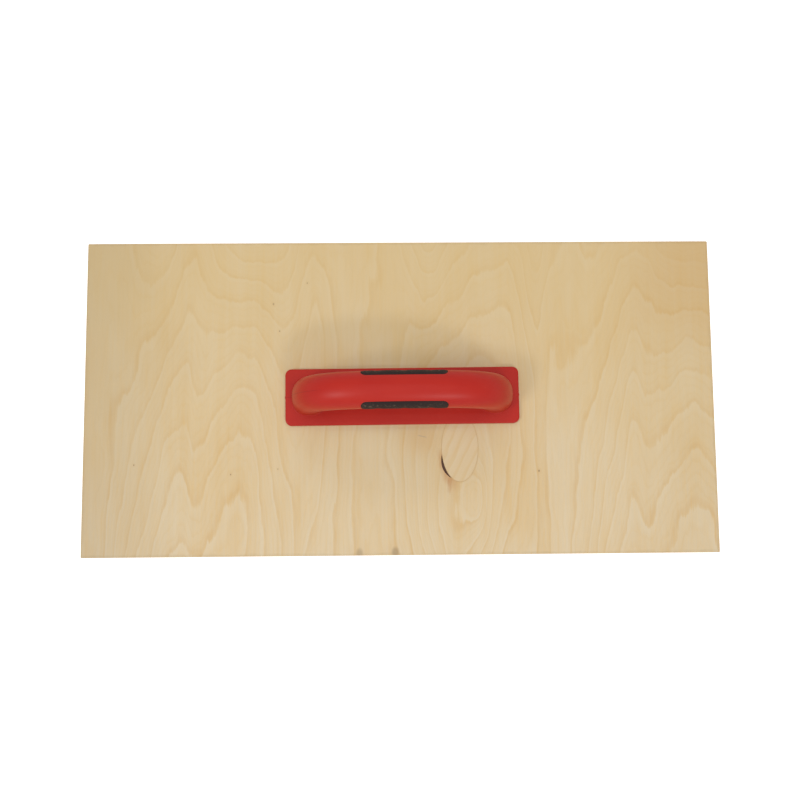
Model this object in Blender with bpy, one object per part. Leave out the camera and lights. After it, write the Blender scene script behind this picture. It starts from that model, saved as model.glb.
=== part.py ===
"""Plywood hand float: a seven-ply birch board with a moulded plastic handle screwed on from below.

World frame, in metres: the origin is the centre of the working face, +X runs along the board,
+Y across it and +Z up through the handle. The float rests on its working face at Z = 0.
"""

import math

import bmesh
import bpy
from mathutils import Matrix, Vector

MM = 0.001

# Board
BOARD_LENGTH = 500 * MM
BOARD_WIDTH = 250 * MM
BOARD_THICKNESS = 9 * MM
PLY_COUNT = 7
GLUE_LINE = 0.1 * MM
PLY_THICKNESS = (BOARD_THICKNESS - (PLY_COUNT - 1) * GLUE_LINE) / PLY_COUNT

# Oval repair patch in the top face veneer, and the gap left open beside it
PATCH_CENTRE = (46.7 * MM, -41.2 * MM)
PATCH_HALF_WIDTH = 14.5 * MM
PATCH_HALF_LENGTH = 27 * MM
PATCH_GAP = 0.15 * MM
CRESCENT_SHIFT = (-1.5 * MM, -1.1 * MM)
CRESCENT_START = math.radians(191)
CRESCENT_END = math.radians(243)

# Handle plate, screwed on a third of a degree out of square
HANDLE_CENTRE = (1.5 * MM, -0.2 * MM)
HANDLE_TURN = math.radians(0.34)
SEAT_GAP = 0.1 * MM
PLATE_LENGTH = 185 * MM
PLATE_WIDTH = 45 * MM
PLATE_THICKNESS = 3.5 * MM
PLATE_CORNER = 5 * MM
PLATE_EDGE_ROUND = 1 * MM
PLATE_BOTTOM = BOARD_THICKNESS + SEAT_GAP
PLATE_TOP = PLATE_BOTTOM + PLATE_THICKNESS

# Arched bar: the right half of its centre line is one Bezier curve, from mid span to the foot.
# Its section is an ellipse at mid span and squares up a little towards the foot.
BAR_HEIGHT = BOARD_THICKNESS + 49.8 * MM
FOOT_HEIGHT = BOARD_THICKNESS + 3.8 * MM
FOOT_X = 73.4 * MM
FOOT_LEAN = math.radians(1.5)
CROWN_REACH = 52 * MM
FOOT_REACH = 34.5 * MM
BAR_HALF_WIDTH = 14.2 * MM
BAR_HALF_DEPTH = 11.8 * MM
FOOT_HALF_DEPTH = 13.7 * MM
FOOT_SQUARENESS = 0.35
FOOT_FILLET = 0.8 * MM
FOOT_ROOT = PLATE_BOTTOM + 0.8 * MM

# Soft grip, let into the sides and underside of the bar
GRIP_SHIFT = 0.7 * MM
GRIP_HALF_LENGTH = 31.8 * MM
GRIP_DEPTH = 2.8 * MM
GRIP_CORNER = 4.5 * MM
GRIP_EDGE_ANGLE = math.radians(45)
GRIP_GAP = 0.3 * MM
KEY_COUNT = 3
KEY_PITCH = 19 * MM
KEY_LENGTH = 11 * MM
KEY_WIDTH = 8 * MM
KEY_HEIGHT = 8 * MM
KEY_CORNER = 1.5 * MM

# Hollow feet: each core draws straight down, so it narrows and leans inboard on its way up
CORE_HALF_X = 11.3 * MM
CORE_HALF_Y = 11.6 * MM
CORE_TOP = PLATE_BOTTOM + 23 * MM
CORE_TOP_X = 71.6 * MM
CORE_TOP_HALF_X = 7 * MM
CORE_TOP_HALF_Y = 9.5 * MM
BOSS_RADIUS = 4 * MM
WEB_THICKNESS = 2.2 * MM
WEB_LENGTH = 26 * MM

# Screws: countersunk, driven up from the working face
SCREW_X = 71.5 * MM
SCREW_Y = 6.5 * MM
SCREW_RECESS = 0.4 * MM
SCREW_LENGTH = 30 * MM
HEAD_RADIUS = 3.8 * MM
HEAD_RIM = 0.3 * MM
THREAD_RADIUS = 2 * MM
CORE_RADIUS = 1.35 * MM
SHANK_RADIUS = 1.5 * MM
THREAD_PITCH = 2.2 * MM
THREAD_LENGTH = 20 * MM
POINT_LENGTH = 4 * MM
TIP_SHARE = 0.15
DRIVE_RADIUS = 2.1 * MM
DRIVE_SLOT = 0.9 * MM
DRIVE_DEPTH = 1.9 * MM
DRIVE_TAPER = 0.55
HOLE_CLEARANCE = 0.3 * MM

# Fineness of the meshes
OVERCUT = 1 * MM
BAR_SIDES = 32
BAR_STATIONS = 14
EDGE_STEPS = 3
GRIP_STEPS = 22
GRIP_STRAIGHT_STEPS = 6
OVAL_SIDES = 60
ROUND_SIDES = 20
SCREW_SIDES = 10
THREAD_ROWS = 3
BISECTIONS = 40
FOOT_SEARCH = (0.5, 1.3)
SMOOTH_ANGLE = math.radians(30)


def clear_scene():
    for obj in list(bpy.data.objects):
        bpy.data.objects.remove(obj, do_unlink=True)


def make_material(name, colour, roughness, metallic=0.0):
    material = bpy.data.materials.new(name)
    material.use_nodes = True
    shader = material.node_tree.nodes["Principled BSDF"]
    shader.inputs["Base Color"].default_value = (*colour, 1.0)
    shader.inputs["Roughness"].default_value = roughness
    shader.inputs["Metallic"].default_value = metallic
    material.diffuse_color = (*colour, 1.0)
    return material


def make_empty(name, location, parent=None):
    empty = bpy.data.objects.new(name, None)
    empty.location = location
    empty.parent = parent
    bpy.context.scene.collection.objects.link(empty)
    return empty


def make_object(name, shape, material=None, parent=None, location=(0, 0, 0)):
    """Turns a bmesh into a smooth-shaded object. Without a material it is a hidden cutter."""
    bmesh.ops.recalc_face_normals(shape, faces=shape.faces)
    mesh = bpy.data.meshes.new(name)
    shape.to_mesh(mesh)
    shape.free()
    mesh.shade_smooth()
    mesh.set_sharp_from_angle(angle=SMOOTH_ANGLE)
    obj = bpy.data.objects.new(name, mesh)
    obj.parent = parent
    obj.location = location
    bpy.context.scene.collection.objects.link(obj)
    if material:
        mesh.materials.append(material)
    else:
        obj.hide_render = True
        obj.display_type = "WIRE"
    return obj


def apply_boolean(target, tool, operation):
    modifier = target.modifiers.new(f"{operation.lower()}_{tool.name}", "BOOLEAN")
    modifier.operation = operation
    modifier.solver = "EXACT"
    modifier.object = tool


def loft(rings, shape=None):
    """A closed body through rings of equally many points, capped at both ends."""
    shape = shape or bmesh.new()
    loops = [[shape.verts.new(point) for point in ring] for ring in rings]
    count = len(loops[0])
    for lower, upper in zip(loops, loops[1:]):
        for i in range(count):
            j = (i + 1) % count
            shape.faces.new((lower[i], lower[j], upper[j], upper[i]))
    shape.faces.new(loops[0][::-1])
    shape.faces.new(loops[-1])
    return shape


def circle(radius, height, sides, centre=(0, 0)):
    turns = (math.tau * i / sides for i in range(sides))
    return [
        Vector((centre[0] + radius * math.cos(a), centre[1] + radius * math.sin(a), height))
        for a in turns
    ]


def turned(profile, sides, centre=(0, 0), shape=None):
    """A body of revolution about the vertical through centre, from (radius, height) pairs."""
    return loft([circle(radius, height, sides, centre) for radius, height in profile], shape)


def rounded_rectangle(length, width, corner, height, corner_steps=6):
    """One ring round a rectangle with arc corners, centred on the origin."""
    ring = []
    for quarter in range(4):
        side_x = 1 if quarter in (0, 3) else -1
        side_y = 1 if quarter in (0, 1) else -1
        for step in range(corner_steps + 1):
            angle = math.pi / 2 * (quarter + step / corner_steps)
            x = side_x * (length / 2 - corner) + corner * math.cos(angle)
            y = side_y * (width / 2 - corner) + corner * math.sin(angle)
            ring.append(Vector((x, y, height)))
    return ring


def spine(t):
    """Centre and outward normal of the bar, for t from 0 at mid span to about 1 at the right foot."""
    foot = Vector((FOOT_X, 0, FOOT_HEIGHT))
    rise = Vector((-math.sin(FOOT_LEAN), 0, math.cos(FOOT_LEAN)))
    points = (
        Vector((0, 0, BAR_HEIGHT)),
        Vector((CROWN_REACH, 0, BAR_HEIGHT)),
        foot + FOOT_REACH * rise,
        foot,
    )
    s = 1 - t
    weights = (s**3, 3 * s * s * t, 3 * s * t * t, t**3)
    centre = sum((w * p for w, p in zip(weights, points)), Vector())
    slopes = (s * s, 2 * s * t, t * t)
    steps = (b - a for a, b in zip(points, points[1:]))
    along = sum((w * step for w, step in zip(slopes, steps)), Vector()).normalized()
    return centre, Vector((-along.z, 0, along.x))


def bar_point(t, angle, offset=0.0):
    """A point on the bar's skin. Negative t is the left half; angle 0 faces +Y and 90 degrees outward."""
    centre, normal = spine(abs(t))
    blend = min(abs(t), 1.0)
    blend = blend * blend * (3 - 2 * blend)
    width = BAR_HALF_WIDTH + offset
    depth = BAR_HALF_DEPTH + (FOOT_HALF_DEPTH - BAR_HALF_DEPTH) * blend + offset
    power = 2 / (2 + FOOT_SQUARENESS * blend)
    across = math.copysign(abs(math.cos(angle)) ** power, math.cos(angle))
    outward = math.copysign(abs(math.sin(angle)) ** power, math.sin(angle))
    point = centre + normal * (depth * outward)
    side = 1 if t >= 0 else -1
    return Vector((side * point.x, width * across, point.z))


def solve(function, target, low, high):
    """Where a falling function reaches target, by bisection."""
    for _ in range(BISECTIONS):
        middle = (low + high) / 2
        if function(middle) > target:
            low = middle
        else:
            high = middle
    return (low + high) / 2


def station_at(x):
    """The spine parameter whose centre lies at x."""
    t = solve(lambda value: -spine(value)[0].x, -abs(x), 0.0, 1.0)
    return math.copysign(t, x)


def fillet(height):
    """How far the foot swells at this height to run out into the plate."""
    above = max(height - PLATE_TOP, 0.0)
    if above >= FOOT_FILLET:
        return 0.0
    return FOOT_FILLET - math.sqrt(FOOT_FILLET**2 - (FOOT_FILLET - above) ** 2)


def foot_station(angle, height):
    """The spine parameter at which the skin at this angle comes down to height."""
    return solve(lambda t: bar_point(t, angle).z, height, *FOOT_SEARCH)


def half_bar_rings(foot_heights):
    """Rings of the right half of the bar: even stations, then level rings at foot_heights."""
    angles = [math.tau * i / BAR_SIDES for i in range(BAR_SIDES)]
    ends = [foot_station(angle, foot_heights[0]) for angle in angles]
    rings = []
    for station in range(BAR_STATIONS):
        part = station / BAR_STATIONS
        rings.append([bar_point(end * part, a) for a, end in zip(angles, ends)])
    for height in foot_heights:
        swell = fillet(height)
        rings.append(
            [
                bar_point(foot_station(a, height), a) + swell * Vector((math.sin(a), math.cos(a), 0))
                for a in angles
            ]
        )
    return rings


def mirrored(ring):
    return [Vector((-point.x, point.y, point.z)) for point in ring]


def grip_band(outer, inner, half_length, edge_angle, corner):
    """The C-shaped band round the bar's sides and underside that the soft grip fills."""
    reach = half_length - corner
    spots = [(reach * i / GRIP_STRAIGHT_STEPS, 0.0) for i in range(GRIP_STRAIGHT_STEPS)]
    for step in range(EDGE_STEPS + 1):
        turn = math.pi / 2 * step / EDGE_STEPS
        spots.append((reach + corner * math.sin(turn), corner * (1 - math.cos(turn))))
    spots = [(-x, drop) for x, drop in reversed(spots[1:])] + spots
    rings = []
    for x, drop in spots:
        t = station_at(x + GRIP_SHIFT)
        edge = edge_angle - drop / BAR_HALF_DEPTH
        low = -math.pi - edge
        sweep = [low + (edge - low) * i / GRIP_STEPS for i in range(GRIP_STEPS + 1)]
        skin = [bar_point(t, angle, outer) for angle in sweep]
        bed = [bar_point(t, angle, inner) for angle in reversed(sweep)]
        rings.append(skin + bed)
    return loft(rings)


def grip_keys(margin, top):
    """Upright keys that lock the soft grip into pockets in the bar."""
    shape = bmesh.new()
    floor = BAR_HEIGHT - BAR_HALF_DEPTH + GRIP_DEPTH / 2
    for i in range(KEY_COUNT):
        x = (i - (KEY_COUNT - 1) / 2) * KEY_PITCH + GRIP_SHIFT
        foot_z = floor - (BAR_HEIGHT - spine(abs(station_at(x)))[0].z)
        outline = rounded_rectangle(
            KEY_LENGTH + 2 * margin, KEY_WIDTH + 2 * margin, KEY_CORNER, 0.0, EDGE_STEPS
        )
        rings = [
            [Vector((x + point.x, point.y, height)) for point in outline]
            for height in (foot_z - margin, foot_z + top)
        ]
        loft(rings, shape)
    return shape


def screw_spots():
    """The (x, y) of the left front, left back, right front and right back screws."""
    turn = Matrix.Rotation(HANDLE_TURN, 2)
    return [
        Vector(HANDLE_CENTRE) + turn @ Vector((side_x * SCREW_X, side_y * SCREW_Y))
        for side_x in (-1, 1)
        for side_y in (-1, 1)
    ]


def build_fixing_holes():
    """Countersinks and clearance holes through the board, all four in one cutter."""
    hole = THREAD_RADIUS + HOLE_CLEARANCE
    mouth = HEAD_RADIUS + HOLE_CLEARANCE
    rim_top = SCREW_RECESS + HEAD_RIM
    profile = (
        (mouth, -OVERCUT),
        (mouth, rim_top),
        (hole, rim_top + mouth - hole),
        (hole, BOARD_THICKNESS + OVERCUT),
    )
    shape = bmesh.new()
    for spot in screw_spots():
        turned(profile, ROUND_SIDES, spot, shape)
    return make_object("fixing_holes", shape)


def oval(half_width, half_length, height, crescent=False):
    """The patch outline. With crescent, its lower left runs out to leave the open gap."""
    ring = []
    for i in range(OVAL_SIDES):
        angle = math.tau * i / OVAL_SIDES
        x = PATCH_CENTRE[0] + half_width * math.cos(angle)
        y = PATCH_CENTRE[1] + half_length * math.sin(angle)
        along = (angle - CRESCENT_START) / (CRESCENT_END - CRESCENT_START)
        if crescent and 0 < along < 1:
            open_by = math.sin(math.pi * along)
            x += CRESCENT_SHIFT[0] * open_by
            y += CRESCENT_SHIFT[1] * open_by
        ring.append(Vector((x, y, height)))
    return ring


def build_board(materials, parent):
    holes = build_fixing_holes()
    top_ply_base = BOARD_THICKNESS - PLY_THICKNESS
    patch_hole = make_object(
        "patch_hole",
        loft(
            [
                oval(PATCH_HALF_WIDTH + PATCH_GAP, PATCH_HALF_LENGTH + PATCH_GAP, height, True)
                for height in (top_ply_base - OVERCUT, BOARD_THICKNESS + OVERCUT)
            ]
        ),
    )
    for number in range(1, PLY_COUNT + 1):
        base = (number - 1) * (PLY_THICKNESS + GLUE_LINE)
        shape = bmesh.new()
        bmesh.ops.create_cube(shape, size=1.0)
        bmesh.ops.scale(shape, vec=(BOARD_LENGTH, BOARD_WIDTH, PLY_THICKNESS), verts=shape.verts)
        bmesh.ops.translate(shape, vec=(0, 0, base + PLY_THICKNESS / 2), verts=shape.verts)
        is_face = number in (1, PLY_COUNT)
        material = materials["face_veneer" if is_face else "core_veneer"]
        ply = make_object(f"ply_{number}", shape, material, parent)
        apply_boolean(ply, holes, "DIFFERENCE")
        if number == PLY_COUNT:
            apply_boolean(ply, patch_hole, "DIFFERENCE")
    patch = loft(
        [
            oval(PATCH_HALF_WIDTH, PATCH_HALF_LENGTH, height)
            for height in (top_ply_base, BOARD_THICKNESS)
        ]
    )
    patch = make_object("veneer_patch", patch, materials["face_veneer"], parent)
    apply_boolean(patch, holes, "DIFFERENCE")


def build_plate_shape():
    heights = [(PLATE_BOTTOM, 0.0), (PLATE_TOP - PLATE_EDGE_ROUND, 0.0)]
    for step in range(1, EDGE_STEPS + 1):
        turn = math.pi / 2 * step / EDGE_STEPS
        rise = PLATE_EDGE_ROUND * math.sin(turn)
        inset = PLATE_EDGE_ROUND * (1 - math.cos(turn))
        heights.append((PLATE_TOP - PLATE_EDGE_ROUND + rise, inset))
    return loft(
        [
            rounded_rectangle(
                PLATE_LENGTH - 2 * inset, PLATE_WIDTH - 2 * inset, PLATE_CORNER - inset, height
            )
            for height, inset in heights
        ]
    )


def build_foot_core(side, parent):
    """The hollow moulded up into one foot, less its two screw bosses and the web between them."""
    rings = []
    for x, half_x, half_y, height in (
        (FOOT_X, CORE_HALF_X, CORE_HALF_Y, PLATE_BOTTOM - OVERCUT),
        (CORE_TOP_X, CORE_TOP_HALF_X, CORE_TOP_HALF_Y, CORE_TOP),
    ):
        ring = circle(1.0, height, ROUND_SIDES)
        rings.append([Vector((side * x + p.x * half_x, p.y * half_y, p.z)) for p in ring])
    label = "left" if side < 0 else "right"
    core = make_object(f"{label}_foot_core", loft(rings), parent=parent)
    low = PLATE_BOTTOM - 2 * OVERCUT
    high = BAR_HEIGHT
    web = loft(
        [
            [
                Vector((side * SCREW_X + point.x, point.y, height))
                for point in rounded_rectangle(
                    WEB_THICKNESS, WEB_LENGTH, WEB_THICKNESS / 4, 0.0, corner_steps=1
                )
            ]
            for height in (low, high)
        ]
    )
    web = make_object(f"{label}_foot_web", web, parent=parent)
    apply_boolean(core, web, "DIFFERENCE")
    for side_y in (-1, 1):
        spot = (side * SCREW_X, side_y * SCREW_Y)
        boss = turned(((BOSS_RADIUS, low), (BOSS_RADIUS, high)), ROUND_SIDES, spot)
        end = "front" if side_y < 0 else "back"
        boss = make_object(f"{label}_{end}_boss", boss, parent=parent)
        apply_boolean(core, boss, "DIFFERENCE")
    return core


def build_pilot_holes(parent):
    hole = THREAD_RADIUS + HOLE_CLEARANCE
    depth_top = SCREW_RECESS + SCREW_LENGTH + HOLE_CLEARANCE
    shape = bmesh.new()
    for side_x in (-1, 1):
        for side_y in (-1, 1):
            profile = ((hole, PLATE_BOTTOM - OVERCUT), (hole, depth_top))
            turned(profile, ROUND_SIDES, (side_x * SCREW_X, side_y * SCREW_Y), shape)
    return make_object("pilot_holes", shape, parent=parent)


def build_handle(materials, parent):
    body = make_object("handle_body", build_plate_shape(), materials["moulded_red"], parent)
    fillet_heights = [
        PLATE_TOP + FOOT_FILLET * (1 - math.sin(math.pi / 2 * step / EDGE_STEPS))
        for step in range(EDGE_STEPS + 1)
    ]
    right = half_bar_rings((*fillet_heights, FOOT_ROOT))
    left = [mirrored(ring) for ring in reversed(right[1:])]
    bar = make_object("bar", loft(left + right), parent=parent)
    apply_boolean(body, bar, "UNION")
    recess = grip_band(OVERCUT, -GRIP_DEPTH, GRIP_HALF_LENGTH, GRIP_EDGE_ANGLE, GRIP_CORNER)
    tools = [
        make_object("grip_recess", recess, parent=parent),
        make_object("key_pockets", grip_keys(GRIP_GAP, KEY_HEIGHT + GRIP_GAP), parent=parent),
        build_foot_core(-1, parent),
        build_foot_core(1, parent),
        build_pilot_holes(parent),
    ]
    for tool in tools:
        apply_boolean(body, tool, "DIFFERENCE")


def build_soft_grip(materials, parent):
    band = grip_band(
        0.0,
        GRIP_GAP - GRIP_DEPTH,
        GRIP_HALF_LENGTH - GRIP_GAP,
        GRIP_EDGE_ANGLE - GRIP_GAP / BAR_HALF_DEPTH,
        GRIP_CORNER - GRIP_GAP,
    )
    grip = make_object("soft_grip", band, materials["soft_black"], parent)
    keys = make_object("grip_keys", grip_keys(0.0, KEY_HEIGHT), parent=parent)
    apply_boolean(grip, keys, "UNION")


def screw_radius(height):
    """Core radius of the screw at this height, with its point drawn in."""
    to_tip = (SCREW_LENGTH - height) / POINT_LENGTH
    return CORE_RADIUS * min(1.0, TIP_SHARE + (1 - TIP_SHARE) * to_tip)


def build_screw_shape():
    """One screw, head down: countersunk head, plain shank and a rolled thread up to the point."""
    rings = [
        circle(HEAD_RADIUS - HEAD_RIM / 2, 0.0, SCREW_SIDES),
        circle(HEAD_RADIUS, HEAD_RIM / 2, SCREW_SIDES),
        circle(HEAD_RADIUS, HEAD_RIM, SCREW_SIDES),
        circle(SHANK_RADIUS, HEAD_RIM + HEAD_RADIUS - SHANK_RADIUS, SCREW_SIDES),
        circle(SHANK_RADIUS, SCREW_LENGTH - THREAD_LENGTH - THREAD_PITCH / 3, SCREW_SIDES),
    ]
    rows = round(THREAD_ROWS * THREAD_LENGTH / THREAD_PITCH)
    for row in range(rows + 1):
        base = SCREW_LENGTH - THREAD_LENGTH * (1 - row / rows)
        fade = min(1.0, row / THREAD_ROWS, (rows - row) / THREAD_ROWS)
        ring = []
        for i in range(SCREW_SIDES):
            turn = i / SCREW_SIDES
            phase = (row / THREAD_ROWS - turn) % 1.0
            crest = max(0.0, 1 - THREAD_ROWS * min(phase, 1 - phase))
            radius = screw_radius(base) + (THREAD_RADIUS - CORE_RADIUS) * crest * fade
            angle = math.tau * turn
            ring.append(Vector((radius * math.cos(angle), radius * math.sin(angle), base)))
        rings.append(ring)
    return loft(rings)


def cross(reach, height):
    """Outline of the cross recess in a screw head, arms out to reach."""
    half = DRIVE_SLOT / 2
    arm = ((reach, -half), (reach, half), (half, half))
    ring = []
    for quarter in range(4):
        turn = Matrix.Rotation(math.pi / 2 * quarter, 3, "Z")
        ring += [turn @ Vector((x, y, height)) for x, y in arm]
    return ring


def build_screws(materials, parent):
    drive = loft([cross(DRIVE_RADIUS, -OVERCUT), cross(DRIVE_RADIUS * DRIVE_TAPER, DRIVE_DEPTH)])
    names = ("left_front_screw", "left_back_screw", "right_front_screw", "right_back_screw")
    drive = make_object("drive_recess", drive)
    for name, (x, y) in zip(names, screw_spots()):
        location = (x, y, SCREW_RECESS)
        screw = make_object(name, build_screw_shape(), materials["zinc_steel"], parent, location)
        recess = bpy.data.objects.new(f"{name}_drive", drive.data)
        recess.parent = screw
        recess.hide_render = True
        recess.display_type = "WIRE"
        bpy.context.scene.collection.objects.link(recess)
        apply_boolean(screw, recess, "DIFFERENCE")


def main():
    clear_scene()
    materials = {
        "face_veneer": make_material("face_veneer", (0.74, 0.57, 0.35), 0.62),
        "core_veneer": make_material("core_veneer", (0.66, 0.48, 0.28), 0.72),
        "moulded_red": make_material("moulded_red", (0.5, 0.025, 0.022), 0.42),
        "soft_black": make_material("soft_black", (0.02, 0.017, 0.015), 0.7),
        "zinc_steel": make_material("zinc_steel", (0.62, 0.6, 0.56), 0.34, 1.0),
    }
    hand_float = make_empty("hand_float", (0, 0, 0))
    handle = make_empty("handle", (*HANDLE_CENTRE, 0), hand_float)
    handle.rotation_euler.z = HANDLE_TURN
    build_board(materials, hand_float)
    build_handle(materials, handle)
    build_soft_grip(materials, handle)
    build_screws(materials, hand_float)


main()
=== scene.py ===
"""Looks for the plywood hand float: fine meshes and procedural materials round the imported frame.

The frame is in metres: the origin is the centre of the working face and +Z points up.
"""

import math

import bmesh
import bpy
from mathutils import Euler, Matrix, Vector, noise


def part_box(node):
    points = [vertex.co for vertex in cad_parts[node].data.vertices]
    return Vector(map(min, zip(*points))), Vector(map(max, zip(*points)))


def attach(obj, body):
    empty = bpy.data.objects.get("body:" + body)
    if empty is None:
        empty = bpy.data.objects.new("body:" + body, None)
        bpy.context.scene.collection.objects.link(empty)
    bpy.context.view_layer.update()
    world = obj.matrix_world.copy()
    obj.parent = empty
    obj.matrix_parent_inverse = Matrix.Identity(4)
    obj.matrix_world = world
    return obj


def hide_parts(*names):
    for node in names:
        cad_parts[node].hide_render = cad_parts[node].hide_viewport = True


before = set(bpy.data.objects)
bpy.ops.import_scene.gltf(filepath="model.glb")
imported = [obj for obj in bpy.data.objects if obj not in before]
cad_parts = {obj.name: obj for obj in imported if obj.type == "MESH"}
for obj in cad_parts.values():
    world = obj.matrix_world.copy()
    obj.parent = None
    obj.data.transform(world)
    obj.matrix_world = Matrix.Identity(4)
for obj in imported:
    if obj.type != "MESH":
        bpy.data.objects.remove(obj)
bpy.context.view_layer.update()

MM = 0.001
PLY_COUNT = 7
SMOOTH_ANGLE = math.radians(32)

# Places read from the frame
board_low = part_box("ply_1")[0]
board_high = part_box(f"ply_{PLY_COUNT}")[1]
handle_low, handle_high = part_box("handle_body")
patch_low, patch_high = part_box("veneer_patch")
HANDLE_CENTRE = ((handle_low + handle_high) / 2).to_2d()
BOARD_SIZE = board_high - board_low
BOARD_TOP = board_high.z
PLATE_BOTTOM = handle_low.z
PATCH_CENTRE = (patch_low + patch_high) / 2
PATCH_HALF = (patch_high - patch_low) / 2

# Handle plate
HANDLE_TURN = math.radians(0.34)
PLATE_LENGTH = 185 * MM
PLATE_WIDTH = 45 * MM
PLATE_THICKNESS = 3.5 * MM
PLATE_TOP = PLATE_BOTTOM + PLATE_THICKNESS
PLATE_CORNER = 5 * MM
PLATE_EDGE_ROUND = 1 * MM

# Arched bar, the same curve as the CAD's
BAR_HALF_WIDTH = 14.2 * MM
BAR_HALF_DEPTH = 11.8 * MM
BAR_HEIGHT = handle_high.z - BAR_HALF_DEPTH
FOOT_HALF_DEPTH = 13.7 * MM
FOOT_SQUARENESS = 0.35
FOOT_HEIGHT = BOARD_TOP + 3.8 * MM
FOOT_X = 73.4 * MM
FOOT_LEAN = math.radians(1.5)
CROWN_REACH = 52 * MM
FOOT_REACH = 34.5 * MM
FOOT_FILLET = 0.8 * MM
FOOT_ROOT = PLATE_BOTTOM + 0.8 * MM
PARTING_RISE = 0.09 * MM
PARTING_HALF_WIDTH = 0.3 * MM
FOOT_SEARCH = (0.5, 1.3)
BISECTIONS = 32

# Soft grip and its recess
GRIP_SHIFT = 0.7 * MM
GRIP_HALF_LENGTH = 31.8 * MM
GRIP_DEPTH = 2.8 * MM
GRIP_CORNER = 4.5 * MM
GRIP_EDGE_ANGLE = math.radians(45)
GRIP_JOINT = 0.08 * MM
GRIP_LIP = 0.22 * MM
GRIP_GROOVES = (-20 * MM, 0.0, 20 * MM)

# Screws
SCREW_X = 71.5 * MM
SCREW_Y = 6.5 * MM
SCREW_RECESS = 0.4 * MM
SCREW_LENGTH = 30 * MM
HEAD_RADIUS = 3.8 * MM
HEAD_RIM = 0.3 * MM
THREAD_RADIUS = 2 * MM
CORE_RADIUS = 1.35 * MM
SHANK_RADIUS = 1.5 * MM
THREAD_PITCH = 2.2 * MM
THREAD_LENGTH = 20 * MM
POINT_LENGTH = 4 * MM
SPOTS_ON_PLATE = [Vector((x, y)) for x in (-SCREW_X, SCREW_X) for y in (-SCREW_Y, SCREW_Y)]

HOLE_PLAY = 0.15 * MM
PILOT_PLAY = 0.1 * MM
PILOT_DEPTH_TO_SPARE = 0.3 * MM
HOLE_SIDES = 40
OVERCUT = 1 * MM


# --- Mesh building ---


def make_object(name, shape, material=None):
    bmesh.ops.recalc_face_normals(shape, faces=shape.faces)
    mesh = bpy.data.meshes.new(name)
    shape.to_mesh(mesh)
    shape.free()
    if material:
        mesh.materials.append(material)
    obj = bpy.data.objects.new(name, mesh)
    bpy.context.scene.collection.objects.link(obj)
    return obj


def combine(target, tools):
    """Applies (operation, tool) Booleans to target and removes the tools."""
    for operation, tool in tools:
        modifier = target.modifiers.new(tool.name, "BOOLEAN")
        modifier.operation = operation
        modifier.solver = "EXACT"
        modifier.object = tool
    graph = bpy.context.evaluated_depsgraph_get()
    made = bpy.data.meshes.new_from_object(target.evaluated_get(graph))
    target.modifiers.clear()
    old, target.data = target.data, made
    bpy.data.meshes.remove(old)
    made.name = target.name
    for _, tool in tools:
        bpy.data.objects.remove(tool, do_unlink=True)


def settle(obj, slot, *nodes):
    """Shades the piece, lets it ride on the body and hides the frame's parts that it stands for. slot
    is not used.
    """
    obj.data.shade_smooth()
    obj.data.set_sharp_from_angle(angle=SMOOTH_ANGLE)
    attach(obj, "root")
    if nodes:
        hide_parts(*nodes)
    return obj


def loft(rings, shape=None):
    """A closed body through rings of equally many points, capped at both ends."""
    shape = shape or bmesh.new()
    loops = [[shape.verts.new(point) for point in ring] for ring in rings]
    count = len(loops[0])
    for lower, upper in zip(loops, loops[1:]):
        for i in range(count):
            j = (i + 1) % count
            shape.faces.new((lower[i], lower[j], upper[j], upper[i]))
    shape.faces.new(loops[0][::-1])
    shape.faces.new(loops[-1])
    return shape


def circle(radius, height, sides, centre=(0, 0)):
    turns = (math.tau * i / sides for i in range(sides))
    return [
        Vector((centre[0] + radius * math.cos(a), centre[1] + radius * math.sin(a), height))
        for a in turns
    ]


def rounded_rectangle(length, width, corner, height, steps=8):
    ring = []
    for quarter in range(4):
        side_x = 1 if quarter in (0, 3) else -1
        side_y = 1 if quarter in (0, 1) else -1
        for step in range(steps + 1):
            angle = math.pi / 2 * (quarter + step / steps)
            x = side_x * (length / 2 - corner) + corner * math.cos(angle)
            y = side_y * (width / 2 - corner) + corner * math.sin(angle)
            ring.append(Vector((x, y, height)))
    return ring


def rounded_slab(length, width, corner, low, high, round_low=0.0, round_high=0.0, steps=4):
    """A plate with arc corners, whose lower and upper edges can be rounded over."""
    turns = [math.pi / 2 * step / steps for step in range(steps + 1)]
    if round_low:
        arc = [(1 - math.sin(turn), 1 - math.cos(turn)) for turn in reversed(turns)]
        levels = [(low + round_low * rise, round_low * inset) for rise, inset in arc]
    else:
        levels = [(low, 0.0)]
    if round_high:
        arc = [(1 - math.sin(turn), 1 - math.cos(turn)) for turn in turns]
        levels += [(high - round_high * drop, round_high * inset) for drop, inset in arc]
    else:
        levels.append((high, 0.0))
    return loft(
        [
            rounded_rectangle(length - 2 * inset, width - 2 * inset, corner - inset, height)
            for height, inset in levels
        ]
    )


# --- Bar of the handle ---


def spine(t):
    """Centre and outward normal of the bar, for t from 0 at mid span to about 1 at the right foot."""
    foot = Vector((FOOT_X, 0, FOOT_HEIGHT))
    rise = Vector((-math.sin(FOOT_LEAN), 0, math.cos(FOOT_LEAN)))
    points = (
        Vector((0, 0, BAR_HEIGHT)),
        Vector((CROWN_REACH, 0, BAR_HEIGHT)),
        foot + FOOT_REACH * rise,
        foot,
    )
    s = 1 - t
    weights = (s**3, 3 * s * s * t, 3 * s * t * t, t**3)
    centre = sum((w * p for w, p in zip(weights, points)), Vector())
    slopes = (s * s, 2 * s * t, t * t)
    steps = (b - a for a, b in zip(points, points[1:]))
    along = sum((w * step for w, step in zip(slopes, steps)), Vector()).normalized()
    return centre, Vector((-along.z, 0, along.x))


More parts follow.
